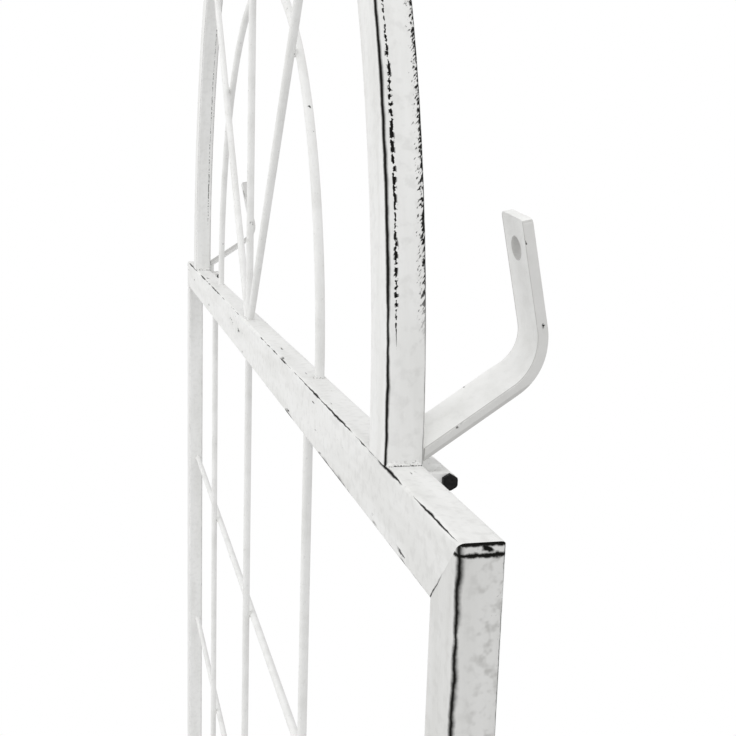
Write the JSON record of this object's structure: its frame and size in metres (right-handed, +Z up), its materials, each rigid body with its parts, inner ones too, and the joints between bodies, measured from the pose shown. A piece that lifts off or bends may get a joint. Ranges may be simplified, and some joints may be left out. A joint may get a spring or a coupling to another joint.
{
  "type": "espalier frame",
  "caption": "Round-topped garden trellis of white distressed metal tube and rod, with tilting brackets that hold it off a wall.",
  "frame": {"origin": "on the ground, under the middle of the whole outline", "axes": "+X to the right end, +Y back to the wall, +Z up"},
  "size_m": [0.94, 0.0612, 1.7319],
  "materials": {
    "paint": "chalky white paint, worn to dark metal along the edges",
    "black_steel": "black oxide",
    "plug": "matt moulded"
  },
  "bodies": {
    "frame": {"left_leg": "paint", "right_leg": "paint", "shoulder_rail": "paint", "sill_rail": "paint", "left_grid_rod": "paint", "middle_grid_rod": "paint", "right_grid_rod": "paint", "cross_rod_1": "paint", "cross_rod_2": "paint", "cross_rod_3": "paint", "cross_rod_4": "paint", "cross_rod_5": "paint", "arch": "paint", "hoop": "paint", "centre_rod": "paint", "left_slant_rod": "paint", "right_slant_rod": "paint", "left_outer_ear": "paint", "left_inner_ear": "paint", "right_outer_ear": "paint", "right_inner_ear": "paint", "left_pivot_bolt": "black_steel", "right_pivot_bolt": "black_steel", "left_pivot_nut": "black_steel", "right_pivot_nut": "black_steel", "left_foot_plug": "plug", "right_foot_plug": "plug"},
    "left_wall_bracket": {"left_bracket": "paint"},
    "right_wall_bracket": {"right_bracket": "paint"}
  },
  "joints": [
    {"name": "left_bracket_tilt", "type": "hinge", "parent": "frame", "child": "left_wall_bracket", "pos_m": [-0.376, -0.0061, 1.3355], "axis": [1, 0, 0], "range_deg": [-90, 0]},
    {"name": "right_bracket_tilt", "type": "hinge", "parent": "frame", "child": "right_wall_bracket", "pos_m": [0.376, -0.0061, 1.3355], "axis": [1, 0, 0], "range_deg": [-90, 0]}
  ]
}
